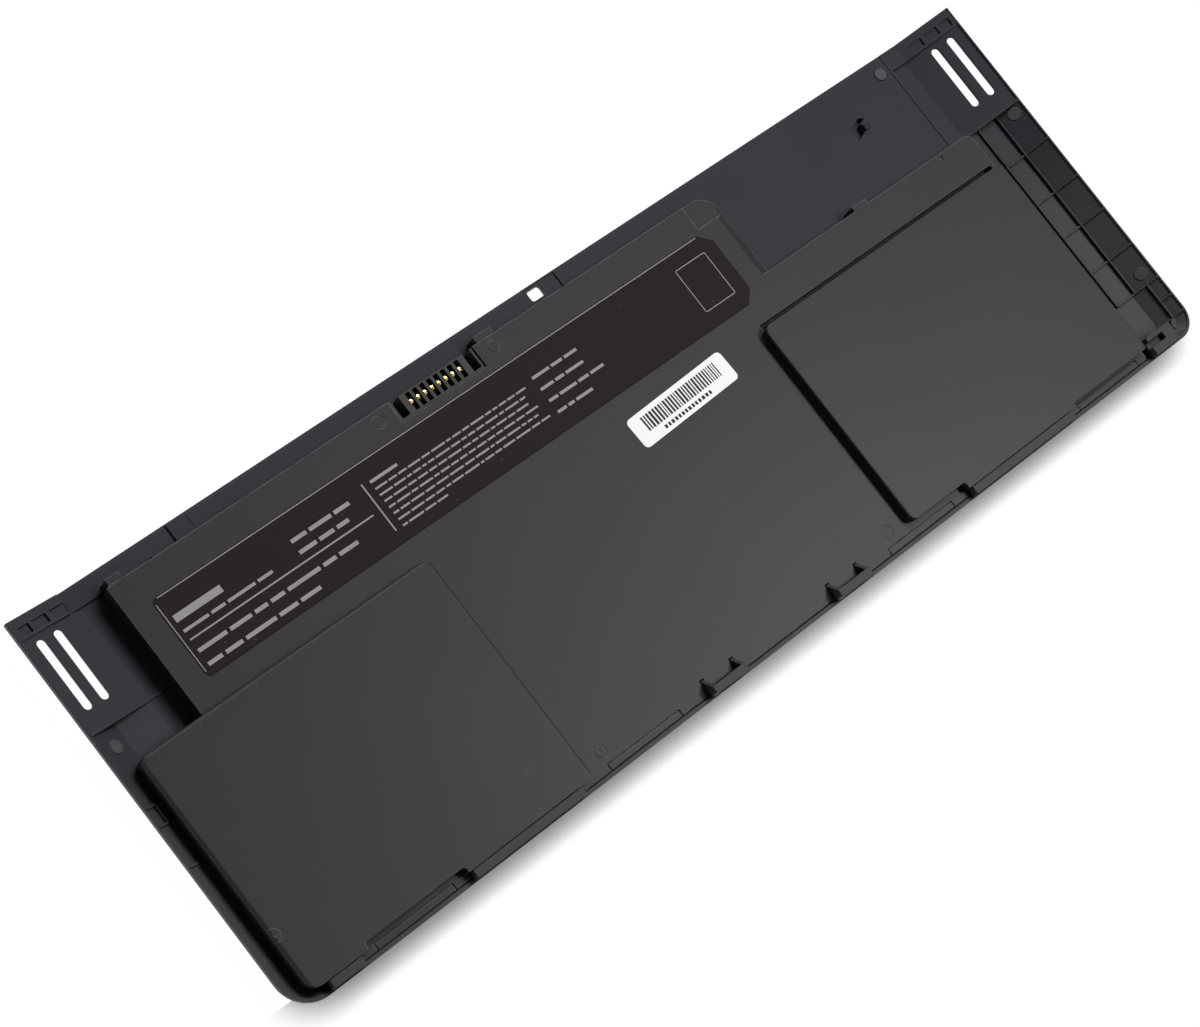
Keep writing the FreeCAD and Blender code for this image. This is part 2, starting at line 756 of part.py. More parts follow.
def rear_groove(wall):
    """The deep groove along the rear foot of the right block, widened by a wall all round."""
    x0, x1 = right_block_x0 + 1.2 - wall, cover_right - block_corner / 2 + wall / 2
    y0, y1 = right_block_back - wall, right_block_back + rear_groove_width + wall
    return box(x0, x1, y0, y1, rim_height - rear_groove_depth - wall, rim_height - wall / 2)


def cell_cover():
    """The moulded cover: a flat plateau and two raised blocks, open underneath."""
    outer = cover_outline()
    blocks = [(left_block_outline(), left_edge_round), (right_block_outline(), right_edge_round)]
    body = fused([prism(outer, floor_wall, rim_height)] + [rounded_block(c, r) for c, r in blocks])
    body = body.cut(prism(inset(outer, cover_wall), 0, rim_height - cover_wall))
    for corners, _ in blocks:
        body = body.cut(prism(inset(corners, cover_wall), 0, block_top - cover_wall))
    body = body.common(tray_cavity(block_top + 1))
    body = body.cut(prism(panel_outline(), 0, panel_top))
    socket_half = connector_width / 2 + connector_fit
    body = body.cut(box(connector_x - socket_half, connector_x + socket_half, connector_front - connector_fit,
                        plateau_back + 1, 0, rim_height + 1))
    body = body.cut(box(plateau_right - corner_step_width, plateau_right + recess_slope + 1,
                        plateau_back - corner_step_depth, plateau_back + 1, rim_height - corner_step_drop,
                        rim_height + 1))
    body = body.fuse(rear_groove(rear_groove_wall))
    for cutter in clip_lines() + ring_marks() + gusset_slots() + recess_cutters() + [rear_groove(0)]:
        body = body.cut(cutter)
    tabs = [box(x - w / 2, x + w / 2, plateau_back - cover_wall, plateau_back + rear_tab_reach, panel_top,
                rim_height - rear_tab_drop) for x, w in rear_tabs]
    tabs.append(box(recess_tab_x - recess_tab_width / 2, recess_tab_x + recess_tab_width / 2,
                    recess_front - cover_wall, recess_front + recess_tab_reach, panel_top, rim_height))
    return fused([body] + tabs)


def connector_housing():
    """The socket block: a slot for each contact and an open guide pocket at each end."""
    half = connector_width / 2
    top = rim_height - connector_sink
    foot_back = wall_line - back_wall - connector_fit
    body = box(connector_x - half, connector_x + half, connector_front, connector_back, board_top, top)
    slot_floor = board_top + connector_fit
    slot_y0 = connector_front + connector_rim
    for x in contact_places():
        x0, x1 = x - contact_slot / 2, x + contact_slot / 2
        body = body.cut(box(x0, x1, slot_y0, foot_back - slot_end_wall, board_top - 1, top + 1))
        body = body.cut(box(x0, x1, slot_y0, connector_back - slot_end_wall, slot_floor, top + 1))
    for side in (-1, 1):
        x0 = connector_x + side * (half - guide_rim)
        x1 = x0 - side * guide_width
        body = body.cut(box(min(x0, x1), max(x0, x1), slot_y0, connector_back + 1, slot_floor, top + 1))
    return body


def contact_places():
    """Where the contacts stand along the connector."""
    first = connector_x - contact_pitch * (contact_count - 1) / 2
    return [first + k * contact_pitch for k in range(contact_count)]


def contact(x):
    """One bent contact: a foot on the board and a spring arm with a round crown."""
    y0 = connector_front + connector_rim + connector_fit
    y1 = wall_line - back_wall - connector_fit - slot_end_wall - connector_fit
    top = rim_height - connector_sink - 0.4
    leaf = 0.35
    crown = (y1 - y0) / 4
    middle = y1 - crown
    rise = top - crown
    bends = [math.radians(angle) for angle in (0, 45, 90, 135, 180)]
    outer = [(middle + crown * math.cos(a), rise + crown * math.sin(a)) for a in bends]
    outer += [(y0, board_top + leaf), (y0, board_top), (y1, board_top)]
    inner = crown - leaf
    hollow = [(middle + inner * math.cos(a), rise + inner * math.sin(a)) for a in bends]
    hollow += [(y0 + 2 * leaf, board_top + leaf), (y1 - leaf, board_top + leaf)]
    x0, x1 = x - contact_thickness / 2, x + contact_thickness / 2
    return end_profile(outer, x0, x1).cut(end_profile(hollow, x0, x1))


cell_front = hook_notch_back + cover_wall + cell_clear
cell_back = left_block_back - cover_wall - cell_clear
right_cell_back = right_block_back - cover_wall - cell_clear
board_front = left_block_back + board_setback
bar_back = recess_front - panel_lap - board_clear
block_room = block_top - cover_wall - floor_wall
outer_cell_thickness = (block_room - tape_thickness - middle_tape - cell_head_room) / 2
centre_cell_thickness = rim_height - cover_wall - floor_wall - tape_thickness - cell_head_room
slope_foot = left + end_lip + inner_run(end_run)
left_cell_x1 = left_block_x1 - cover_wall - cell_clear
left_cell_x0 = max(left_cell_x1 - outer_cell_width, slope_foot + cell_clear)
right_cell_x0 = right_block_x0 + cover_wall + cell_clear
right_cell_x1 = min(right_cell_x0 + outer_cell_width, cover_right - cover_wall - cell_clear)
centre_x0 = left_block_x1 + bay_rib / 2 + cell_clear
centre_x1 = right_block_x0 - bay_rib / 2 - cell_clear
centre_split = (centre_x0 + centre_x1) / 2
lower_z = floor_wall + tape_thickness
upper_z = lower_z + outer_cell_thickness + middle_tape

cell_bays = {
    "left_lower": (left_cell_x0, left_cell_x1, cell_back, lower_z, outer_cell_thickness),
    "left_upper": (left_cell_x0, left_cell_x1, cell_back, upper_z, outer_cell_thickness),
    "centre_left": (centre_x0, centre_split - cell_clear / 2, cell_back, lower_z, centre_cell_thickness),
    "centre_right": (centre_split + cell_clear / 2, centre_x1, cell_back, lower_z, centre_cell_thickness),
    "right_lower": (right_cell_x0, right_cell_x1, right_cell_back, lower_z, outer_cell_thickness),
    "right_upper": (right_cell_x0, right_cell_x1, right_cell_back, upper_z, outer_cell_thickness),
}


def tab_z(name):
    """Underside of a cell's tabs where they leave the pouch."""
    return upper_z + terrace_thickness / 2 if name.endswith("upper") else board_top


def cell(name):
    """A soft-edged pouch with a thin sealed terrace at its rear edge."""
    x0, x1, y1, z0, thickness = cell_bays[name]
    body_back = y1 - terrace_depth
    corners = [(x0, body_back, cell_corner), (x1, body_back, cell_corner), (x1, cell_front, cell_corner),
               (x0, cell_front, cell_corner)]
    body = prism(corners, z0, z0 + thickness)
    level = [e for e in body.Edges if abs(e.Vertexes[0].Z - e.Vertexes[-1].Z) < 1e-6]
    body = body.makeChamfer(cell_edge, level)
    seal_z = tab_z(name) + (tab_thickness - terrace_thickness) / 2
    terrace = box(x0 + cell_corner, x1 - cell_corner, body_back - 1, y1, seal_z, seal_z + terrace_thickness)
    return body.fuse(terrace).removeSplitter().cut(Part.makeCompound(cell_tabs(name)))


def cell_tabs(name):
    """The two metal tabs of a cell, from the sealed terrace to their landing on the board."""
    x0, x1, y1, _, _ = cell_bays[name]
    z = tab_z(name)
    start = y1 - terrace_depth / 2
    stop = bar_back - tab_end_margin
    tabs = []
    for x in tab_places(x0, x1):
        if name.endswith("upper"):
            landing = board_top + tab_thickness
            bend = y1 + cell_clear + tab_thickness
            under = [(start, z), (bend - tab_thickness, z), (bend - tab_thickness, landing), (stop, landing)]
            over = [(stop, landing + tab_thickness), (bend, landing + tab_thickness),
                    (bend, z + tab_thickness), (start, z + tab_thickness)]
            tabs.append(end_profile(under + over, x - tab_width / 2, x + tab_width / 2))
        else:
            tabs.append(box(x - tab_width / 2, x + tab_width / 2, start, stop, z, z + tab_thickness))
    return tabs


def tape(x0, x1, y1, z0, thickness):
    """A strip of two-sided tape under a cell."""
    edge = cell_corner + cell_edge
    return box(x0 + edge, x1 - edge, cell_front + edge, y1 - terrace_depth - edge, z0, z0 + thickness)


def tab_places(x0, x1):
    """Middles of a cell's two tabs, kept on the board."""
    edge = plateau_left + cover_wall + board_clear + board_reach
    return max(x0 + tab_inset, edge), x1 - tab_inset


def board_span():
    """Left and right ends of the board's long bar, from the cover's end to the last tab."""
    _, last = tab_places(right_cell_x0, right_cell_x1)
    return plateau_left + cover_wall + board_clear, last + board_reach


def board_rests():
    """Places of the tray's rests under the board."""
    x0, x1 = board_span()
    y = (board_front + bar_back) / 2
    deep = board_back - 2.5
    return [(x0 + 5, y), (x1 - 5, y), (connector_x - board_tongue_left + 5, deep),
            (connector_x + board_tongue_right - 5, deep), (connector_x, y)]


def circuit_board():
    """A long bar along the cells with a wide tongue under the connector."""
    x0, x1 = board_span()
    corners = [(x0, bar_back, 0.8), (connector_x - board_tongue_left, bar_back, 0.8),
               (connector_x - board_tongue_left, board_back, 0.8),
               (connector_x + board_tongue_right, board_back, 0.8),
               (connector_x + board_tongue_right, bar_back, 0.8), (x1, bar_back, 0.8), (x1, board_front, 0.8),
               (x0, board_front, 0.8)]
    return prism(corners, board_z0, board_top)


def board_chip(dx, dy, size_x, size_y, height):
    """A flat package on the board, placed from the connector's middle and front."""
    x, y = connector_x + dx, connector_front - dy
    chip = box(x - size_x / 2, x + size_x / 2, y - size_y / 2, y + size_y / 2, board_top, board_top + height)
    upper = [e for e in chip.Edges if min(v.Z for v in e.Vertexes) > board_top + 1e-6]
    return chip.makeChamfer(height / 5, upper)


def label_film():
    """The dark information label on the plateau, bare of print."""
    x0, x1 = plateau_left + label_left_margin, plateau_right - label_right_margin
    y1 = plateau_back - label_rear_margin
    y0 = y1 - label_depth
    cut = label_chamfer
    corners = [(x0, y1, label_corner), (x1 - cut, y1, 0), (x1, y1 - cut, 0), (x1, y0 + cut, 0),
               (x1 - cut, y0, 0), (x0, y0, label_corner)]
    return prism(corners, rim_height, rim_height + film_thickness)


def code_sticker():
    """The small white sticker, laid on slightly askew."""
    half_x, half_y = sticker_length / 2, sticker_width / 2
    corners = [(-half_x, half_y, sticker_corner), (half_x, half_y, sticker_corner),
               (half_x, -half_y, sticker_corner), (-half_x, -half_y, sticker_corner)]
    film = prism(corners, rim_height, rim_height + film_thickness)
    film.rotate(V(0, 0, 0), V(0, 0, 1), sticker_turn)
    y = plateau_back - label_rear_margin - label_depth - sticker_setback
    return film.translated(V(right_block_x0 - sticker_offset, y, 0))


def nodes():
    """Every piece of the pack, by name."""
    pieces = {
        "bottom_tray": bottom_tray(),
        "rear_panel": rear_panel(),
        "cell_cover": cell_cover(),
        "label_film": label_film(),
        "code_sticker": code_sticker(),
        "connector_housing": connector_housing(),
        "circuit_board": circuit_board(),
        "gauge_chip": board_chip(-14.0, 5.5, 6.0, 6.0, 1.0),
        "charge_switch": board_chip(-3.0, 5.5, 5.0, 6.0, 1.1),
        "discharge_switch": board_chip(5.0, 5.5, 5.0, 6.0, 1.1),
        "sense_resistor": board_chip(16.0, 5.5, 6.4, 3.2, 0.7),
        "thermal_fuse": board_chip(28.0, 5.5, 9.0, 4.0, 1.6),
    }
    for k, x in enumerate(contact_places()):
        pieces[f"contact_{k + 1}"] = contact(x)
    for name, (x0, x1, y1, z0, _) in cell_bays.items():
        pieces[f"cell_{name}"] = cell(name)
        for sign, tab in zip(("plus", "minus"), cell_tabs(name)):
            pieces[f"tab_{name}_{sign}"] = tab
        under = middle_tape if name.endswith("upper") else tape_thickness
        pieces[f"tape_{name}"] = tape(x0, x1, y1, z0 - under, under)
    return pieces


os.makedirs("parts", exist_ok=True)
for node, shape in nodes().items():
    shape.exportStep(f"parts/{node}.step")
    print(node, "valid" if shape.isValid() else "BROKEN", len(shape.Solids), round(shape.Volume, 1))
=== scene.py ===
"""Dresses the laptop battery pack: moulded plastics, print, socket metal, floor, light, camera."""
from __future__ import annotations

import logging
import math
from collections.abc import Sequence
from dataclasses import dataclass
from enum import Enum

import bpy
import bmesh
from mathutils import Matrix, Vector


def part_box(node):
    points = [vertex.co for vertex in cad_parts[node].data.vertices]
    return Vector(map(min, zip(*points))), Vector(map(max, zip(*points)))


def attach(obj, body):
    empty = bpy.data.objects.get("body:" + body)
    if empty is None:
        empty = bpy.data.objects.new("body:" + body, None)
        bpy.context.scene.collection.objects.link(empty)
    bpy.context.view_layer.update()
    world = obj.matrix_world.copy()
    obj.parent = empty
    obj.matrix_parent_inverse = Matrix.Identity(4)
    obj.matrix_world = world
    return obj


Colour = tuple[float, float, float, float]
Triple = tuple[float, float, float]
Pair = tuple[float, float]

MM = 0.001
QUARTER_TURN = math.pi / 2
WHITE: Colour = (1.0, 1.0, 1.0, 1.0)
NUMBER = "NodeSocketFloat"
WHOLE = "NodeSocketInt"
VECTOR = "NodeSocketVector"
LOG = logging.getLogger("battery_pack")

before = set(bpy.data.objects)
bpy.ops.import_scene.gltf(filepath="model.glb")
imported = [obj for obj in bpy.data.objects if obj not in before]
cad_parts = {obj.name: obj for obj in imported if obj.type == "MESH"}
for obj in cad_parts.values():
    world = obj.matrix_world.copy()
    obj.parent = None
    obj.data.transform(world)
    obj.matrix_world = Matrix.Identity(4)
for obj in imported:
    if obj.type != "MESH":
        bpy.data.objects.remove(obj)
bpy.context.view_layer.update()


class Ink(Enum):
    """The inks of the prints, each by the name of its material."""

    PALE = "pale_ink"
    DARK = "dark_ink"
    # Ink of the painted shadow along the label's lower edge
    EDGE = "edge_ink"


class Ray(Enum):
    """The kinds of ray that a lamp can be hidden from, each by its switch."""

    DIFFUSE = "visible_diffuse"
    GLOSSY = "visible_glossy"


def linear(level: float) -> float:
    """Turn a display level into a linear value by the sRGB curve.

    Args:
        level: Display level from 0 to 255.

    Returns:
        The linear value.
    """
    share = level / 255.0
    return share / 12.92 if share <= 0.04045 else ((share + 0.055) / 1.055) ** 2.4


def shade(red: float, green: float, blue: float) -> Colour:
    """Build a linear colour from display levels.

    Args:
        red: Red level from 0 to 255.
        green: Green level from 0 to 255.
        blue: Blue level from 0 to 255.

    Returns:
        The colour with full alpha.
    """
    return (linear(red), linear(green), linear(blue), 1.0)


def grey(level: float) -> Colour:
    """Build a neutral colour from one display level."""
    return shade(level, level, level)


# Colour of the painted shade in corners and grooves
CREVICE_SHADE_TONE = grey(8)
DUST_TONE = shade(190, 188, 184)


class NodeWriter:
    """Adds and links the nodes of one tree."""

    def __init__(self, tree: bpy.types.NodeTree) -> None:
        """Keep the tree that is written."""
        self.tree = tree

    def add(self, kind: str, **settings: object) -> bpy.types.Node:
        """Add a node and set its properties.

        Args:
            kind: Node type name.
            settings: Properties of the node.

        Returns:
            The new node.
        """
        node = self.tree.nodes.new(kind)
        for name, value in settings.items():
            setattr(node, name, value)
        return node

    def link(self, source: bpy.types.NodeSocket, target: bpy.types.NodeSocket) -> None:
        """Link an output to an input."""
        self.tree.links.new(source, target)

    def feed(self, value: object, target: bpy.types.NodeSocket) -> None:
        """Link a socket to an input, or set the input to a plain value.

        Args:
            value: Socket, number or colour.
            target: The input.
        """
        if isinstance(value, bpy.types.NodeSocket):
            self.link(value, target)
        else:
            target.default_value = value

    def calc(self, operation: str, first: object, second: object = 0.0) -> bpy.types.NodeSocket:
        """Add a math node.

        Args:
            operation: Name of the operation.
            first: First number or socket.
            second: Second number or socket.

        Returns:
            The output socket.
        """
        node = self.add("ShaderNodeMath", operation=operation)
        self.feed(first, node.inputs[0])
        self.feed(second, node.inputs[1])
        return node.outputs[0]

    def product(self, first: object, second: object) -> bpy.types.NodeSocket:
        """Multiply two numbers or sockets."""
        return self.calc("MULTIPLY", first, second)

    def ramp(self, value: bpy.types.NodeSocket, span: Pair,
             result: Pair = (0.0, 1.0)) -> bpy.types.NodeSocket:
        """Map a value smoothly from one span to another.

        Args:
            value: Socket with the value.
            span: Values where the map starts and ends.
            result: Results at the start and at the end.

        Returns:
            The output socket.
        """
        node = self.add("ShaderNodeMapRange", interpolation_type="SMOOTHSTEP")
        self.link(value, node.inputs["Value"])
        for name, number in zip(("From Min", "From Max", "To Min", "To Max"), span + result):
            node.inputs[name].default_value = number
        return node.outputs["Result"]

    def mix(self, share: bpy.types.NodeSocket, first: object,
            second: object) -> bpy.types.NodeSocket:
        """Blend two colours.

        Args:
            share: Socket with the share of the second colour.
            first: First colour or socket.
            second: Second colour or socket.

        Returns:
            The output socket.
        """
        node = self.add("ShaderNodeMix", data_type="RGBA")
        for index, value in ((0, share), (6, first), (7, second)):
            self.feed(value, node.inputs[index])
        return node.outputs[2]

    def place(self) -> bpy.types.NodeSocket:
        """The place on the piece, in metres."""
        return self.add("ShaderNodeTexCoord").outputs["Object"]

    def axes(self, vector: bpy.types.NodeSocket) -> list[bpy.types.NodeSocket]:
        """Split a vector.

        Args:
            vector: Socket with the vector.

        Returns:
            The sockets of X, Y and Z.
        """
        apart = self.add("ShaderNodeSeparateXYZ")
        self.link(vector, apart.inputs[0])
        return list(apart.outputs)

    def noise(self, place: bpy.types.NodeSocket, scale: object,
              detail: float) -> bpy.types.NodeSocket:
        """Add a noise pattern.

        Args:
            place: Socket with the place.
            scale: Scale as a number or socket.
            detail: Number of finer layers.

        Returns:
            The value socket.
        """
        node = self.add("ShaderNodeTexNoise")
        node.inputs["Detail"].default_value = detail
        self.link(place, node.inputs["Vector"])
        self.feed(scale, node.inputs["Scale"])
        return node.outputs[0]

    def cells(self, place: bpy.types.NodeSocket, scale: bpy.types.NodeSocket) -> bpy.types.Node:
        """Add a pattern of cells.

        Args:
            place: Socket with the place.
            scale: Socket with the scale.

        Returns:
            The pattern node.
        """
        node = self.add("ShaderNodeTexVoronoi")
        self.link(place, node.inputs["Vector"])
        self.link(scale, node.inputs["Scale"])
        return node

    def group(self, tree: bpy.types.NodeTree, **values: float) -> bpy.types.Node:
        """Place a shader group.

        Args:
            tree: The group.
            values: Inputs to set, with an underscore for each space in a name.

        Returns:
            The group node.
        """
        node = self.add("ShaderNodeGroup", node_tree=tree)
        for name, value in values.items():
            node.inputs[name.replace("_", " ")].default_value = value
        return node

    def bump(self, height: bpy.types.NodeSocket, strength: float, distance: float,
             normal: bpy.types.NodeSocket | None = None) -> bpy.types.NodeSocket:
        """Add a bump.

        Args:
            height: Socket with the height.
            strength: Share of the effect.
            distance: Depth of the relief in metres.
            normal: Normal that the relief stands on, if not the surface's own.

        Returns:
            The normal socket.
        """
        node = self.add("ShaderNodeBump")
        node.inputs["Strength"].default_value = strength
        node.inputs["Distance"].default_value = distance
        self.link(height, node.inputs["Height"])
        if normal is not None:
            self.link(normal, node.inputs["Normal"])
        return node.outputs["Normal"]


def blank_material(name: str) -> tuple[bpy.types.Material, NodeWriter, bpy.types.Node]:
    """Start a material with one surface shader.

    Args:
        name: Material name.

    Returns:
        The material, its writer and its surface node.
    """
    material = bpy.data.materials.new(name)
    material.use_nodes = True
    tree = material.node_tree
    tree.nodes.clear()
    writer = NodeWriter(tree)
    surface = writer.add("ShaderNodeBsdfPrincipled")
    output = writer.add("ShaderNodeOutputMaterial")
    writer.link(surface.outputs["BSDF"], output.inputs["Surface"])
    return material, writer, surface


@dataclass
class SharedEffects:
    """Shader groups that several finishes use, with the spans of their masks."""

    noise_span: Pair = (0.3, 0.7)
    fine_detail: float = 2.0
    fine_share: float = 0.6
    pit_share: float = 0.4
    drift_detail: float = 3.0
    edge_span: Pair = (0.995, 0.88)
    edge_samples: int = 4
    patch_span: Pair = (0.15, 0.60)
    patch_detail: float = 4.0
    speck_span: Pair = (0.22, 0.08)
    choice_span: Pair = (0.975, 0.99)
    facing_span: Pair = (0.5, 0.9)
    crevice_span: Pair = (0.85, 0.40)
    crevice_samples: int = 6

    def __post_init__(self) -> None:
        """Build each group once."""
        self.grain = self._mould_grain()
        self.wear_and_highlight = self._edge_wear_and_highlight()
        self.dust = self._fine_dust()
        self.crevice_shade = self._painted_crevice_shade()

    @staticmethod
    def _open(name: str, inputs: dict[str, float], outputs: dict[str, str]
              ) -> tuple[bpy.types.NodeTree, NodeWriter, bpy.types.Node, bpy.types.Node]:
        """Start a group with named sockets.

        Args:
            name: Group name.
            inputs: Name and default of each input, all plain numbers.
            outputs: Name and socket type of each output.

        Returns:
            The tree, its writer, the input node and the output node.
        """
        tree = bpy.data.node_groups.new(name, "ShaderNodeTree")
        for label, default in inputs.items():
            socket = tree.interface.new_socket(label, in_out="INPUT", socket_type=NUMBER)
            socket.default_value = default
        for label, kind in outputs.items():
            tree.interface.new_socket(label, in_out="OUTPUT", socket_type=kind)
        writer = NodeWriter(tree)
        return tree, writer, writer.add("NodeGroupInput"), writer.add("NodeGroupOutput")

    def _mould_grain(self) -> bpy.types.NodeTree:
        """Spark-eroded grain: fine pits with broad, faint drifts of tone.

        Returns:
            The group.
        """
        tree, w, entry, leave = self._open(
            "mould_grain", {"Grain Scale": 5000.0, "Drift Scale": 30.0},
            {"Height": NUMBER, "Speckle": NUMBER, "Drift": NUMBER})
        place = w.place()
        fine = w.noise(place, entry.outputs["Grain Scale"], self.fine_detail)
        pits = w.cells(place, entry.outputs["Grain Scale"]).outputs["Distance"]
        broad = w.noise(place, entry.outputs["Drift Scale"], self.drift_detail)
        height = w.calc("ADD", w.product(fine, self.fine_share), w.product(pits, self.pit_share))
        w.link(height, leave.inputs["Height"])
        w.link(w.ramp(fine, self.noise_span), leave.inputs["Speckle"])
        w.link(w.ramp(broad, self.noise_span), leave.inputs["Drift"])
        return tree

    def _edge_wear_and_highlight(self) -> bpy.types.NodeTree:
        """Rounded normal, and the mask of outer edges from its gap to the true normal; the
        materials lighten these edges, partly as rubbing and partly as a painted highlight.

        Returns:
            The group.
        """
        tree, w, entry, leave = self._open(
            "edge_wear", {"Radius": 0.0004, "Breakup Scale": 400.0},
            {"Mask": NUMBER, "Normal": VECTOR})
        geometry = w.add("ShaderNodeNewGeometry")
        rounded = w.add("ShaderNodeBevel", samples=self.edge_samples)
        w.link(entry.outputs["Radius"], rounded.inputs["Radius"])
        along = w.add("ShaderNodeVectorMath", operation="DOT_PRODUCT")
        w.link(geometry.outputs["True Normal"], along.inputs[0])
        w.link(rounded.outputs["Normal"], along.inputs[1])
        bend = w.ramp(along.outputs["Value"], self.edge_span)
        patches = w.noise(w.place(), entry.outputs["Breakup Scale"], self.patch_detail)
        w.link(w.product(bend, w.ramp(patches, self.patch_span)), leave.inputs["Mask"])
        w.link(rounded.outputs["Normal"], leave.inputs["Normal"])
        return tree

    def _fine_dust(self) -> bpy.types.NodeTree:
        """Sparse pale specks on faces that look up.

        Returns:
            The group.
        """
        tree, w, entry, leave = self._open("fine_dust", {"Speck Scale": 900.0}, {"Mask": NUMBER})
        cells = w.cells(w.place(), entry.outputs["Speck Scale"])
        chosen = w.add("ShaderNodeSeparateColor")
        w.link(cells.outputs["Color"], chosen.inputs[0])
        speck = w.product(w.ramp(cells.outputs["Distance"], self.speck_span),
                          w.ramp(chosen.outputs[0], self.choice_span))
        upward = w.axes(w.add("ShaderNodeNewGeometry").outputs["True Normal"])[2]
        w.link(w.product(speck, w.ramp(upward, self.facing_span)), leave.inputs["Mask"])
        return tree

    def _painted_crevice_shade(self) -> bpy.types.NodeTree:
        """Mask of the narrow corners and grooves where little light gets in; the materials darken
        their colour there as painted shade.

        Returns:
            The group.
        """
        tree, w, entry, leave = self._open("crevice_dark", {"Reach": 0.003}, {"Mask": NUMBER})
        openness = w.add("ShaderNodeAmbientOcclusion", samples=self.crevice_samples,
                         only_local=True)
        w.link(entry.outputs["Reach"], openness.inputs["Distance"])
        w.link(w.ramp(openness.outputs["AO"], self.crevice_span), leave.inputs["Mask"])
        return tree


@dataclass(frozen=True)
class Spot:
    """A round patch of another tone on a moulding, in millimetres."""

    x: float
    y: float
    radius: float
    colour: Colour
    fade: float = 0.15

    def mask(self, w: NodeWriter) -> bpy.types.NodeSocket:
        """Mask of the patch seen from above.

        Args:
            w: Writer of the material.

        Returns:
            The mask socket.
        """
        across, along, _ = w.axes(w.place())
        dx = w.calc("SUBTRACT", across, self.x * MM)
        dy = w.calc("SUBTRACT", along, self.y * MM)
        squared = w.calc("ADD", w.product(dx, dx), w.product(dy, dy))
        return w.ramp(w.calc("SQRT", squared), (self.radius * MM, (self.radius - self.fade) * MM))


@dataclass(frozen=True)
class MouldedPlastic:
    """Grained injection-moulded plastic; lengths in metres, apart from the front span."""

    name: str
    colour: Colour
    drift: Colour
    # Pale edge colour: partly rubbed plastic and partly a painted highlight
    worn_and_lit: Colour
    roughness: Pair = (0.43, 0.49)
    specular: float = 0.4
    # Share of the pale edge colour, for rubbing and painted highlight
    wear_and_highlight: float = 0.5
    # Share of painted shade in corners and grooves, and the reach of that mask in metres
    crevice_shade: float = 0.35
    reach: float = 0.003
    dust: float = 0.10
    grain_scale: float = 5000.0
    grain_depth: float = 0.00004
    grain_strength: float = 0.35
    edge_radius: float = 0.0003
    spots: tuple[Spot, ...] = ()
    # Painted light: a lighter tone towards the front, over the front span in millimetres
    front: Colour | None = None
    front_span: Pair = (15.0, -20.0)

    def build(self, effects: SharedEffects) -> bpy.types.Material:
        """Write the material.

        Args:
            effects: Shared shader groups.

        Returns:
            The material.
        """
        material, w, surface = blank_material(self.name)
        grain = w.group(effects.grain, Grain_Scale=self.grain_scale)
        wear_and_highlight = w.group(effects.wear_and_highlight, Radius=self.edge_radius)
        crevice_shade = w.group(effects.crevice_shade, Reach=self.reach)
        dust = w.group(effects.dust)
        colour = self._plain(w, grain.outputs["Drift"])
        # Layers: pale edges, partly rubbed and partly a painted highlight; painted shade in corners
        # and grooves; dust specks
        for layer, share, tone in ((wear_and_highlight, self.wear_and_highlight, self.worn_and_lit),
                                   (crevice_shade, self.crevice_shade, CREVICE_SHADE_TONE),
                                   (dust, self.dust, DUST_TONE)):
            colour = w.mix(w.product(layer.outputs["Mask"], share), colour, tone)
        w.link(colour, surface.inputs["Base Color"])
        w.link(w.ramp(grain.outputs["Speckle"], (0.0, 1.0), self.roughness),
               surface.inputs["Roughness"])
        surface.inputs["Specular IOR Level"].default_value = self.specular
        relief = w.bump(grain.outputs["Height"], self.grain_strength, self.grain_depth,
                        wear_and_highlight.outputs["Normal"])
        w.link(relief, surface.inputs["Normal"])
        return material

    def _plain(self, w: NodeWriter, drift: bpy.types.NodeSocket) -> bpy.types.NodeSocket:
        """Colour before the edge, shade and dust layers: the drifting tone, the painted light
        towards the front and the spots.

        Args:
            w: Writer of the material.
            drift: Socket with the share of the second tone.

        Returns:
            The colour socket.
        """
        colour = w.mix(drift, self.colour, self.drift)
        if self.front is not None:
            along = w.axes(w.place())[1]
            rear, near = self.front_span
            colour = w.mix(w.ramp(along, (rear * MM, near * MM)), colour, self.front)
        for spot in self.spots:
            colour = w.mix(spot.mask(w), colour, spot.colour)
        return colour


@dataclass(frozen=True)
class SmoothSheet:
    """Film, paper, foil, strip, ink or tape with a faint unevenness."""

    name: str
    colour: Colour
    drift: Colour
    roughness: Pair
    metallic: float = 0.0
    specular: float = 0.5
    dust: float = 0.15
    ripple_scale: float = 220.0
    ripple_detail: float = 4.0
    ripple_depth: float = 0.00003
    ripple_strength: float = 0.4
    stretch: Triple = (1.0, 1.0, 1.0)

    def build(self, effects: SharedEffects) -> bpy.types.Material:
        """Write the material.

        Args:
            effects: Shared shader groups.

        Returns:
            The material.
        """
        material, w, surface = blank_material(self.name)
        mapping = w.add("ShaderNodeMapping")
        mapping.inputs["Scale"].default_value = self.stretch
        w.link(w.place(), mapping.inputs["Vector"])
        ripple = w.noise(mapping.outputs["Vector"], self.ripple_scale, self.ripple_detail)
        share = w.ramp(ripple, effects.noise_span)
        dust = w.group(effects.dust)
        colour = w.mix(share, self.colour, self.drift)
        colour = w.mix(w.product(dust.outputs["Mask"], self.dust), colour, DUST_TONE)
        w.link(colour, surface.inputs["Base Color"])
        w.link(w.ramp(share, (0.0, 1.0), self.roughness), surface.inputs["Roughness"])
        surface.inputs["Metallic"].default_value = self.metallic
        surface.inputs["Specular IOR Level"].default_value = self.specular
        relief = w.bump(ripple, self.ripple_strength, self.ripple_depth)
        w.link(relief, surface.inputs["Normal"])
        return material


